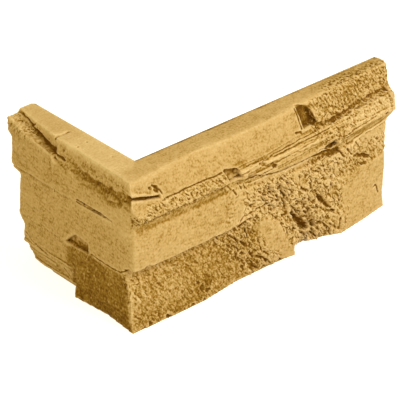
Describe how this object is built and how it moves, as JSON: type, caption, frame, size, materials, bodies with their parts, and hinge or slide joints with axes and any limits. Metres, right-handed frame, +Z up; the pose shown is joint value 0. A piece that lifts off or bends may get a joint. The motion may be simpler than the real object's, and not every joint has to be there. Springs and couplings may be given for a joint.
{
  "type": "stone cladding corner piece",
  "caption": "L-shaped corner piece of cast stone wall cladding, with a split ledge-stone relief on its outer faces and flat backs that bond to the two sides of a wall's outer corner.",
  "frame": {"origin": "inner corner where the two back faces meet, on the level of the base", "axes": "+X along the long leg, +Y along the short leg, +Z up"},
  "size_m": [0.2286, 0.125, 0.1],
  "materials": {
    "cast_stone": "rough cast stone, ochre through and through, matt"
  },
  "bodies": {
    "root": {"corner_stone": "cast_stone"}
  },
  "joints": []
}
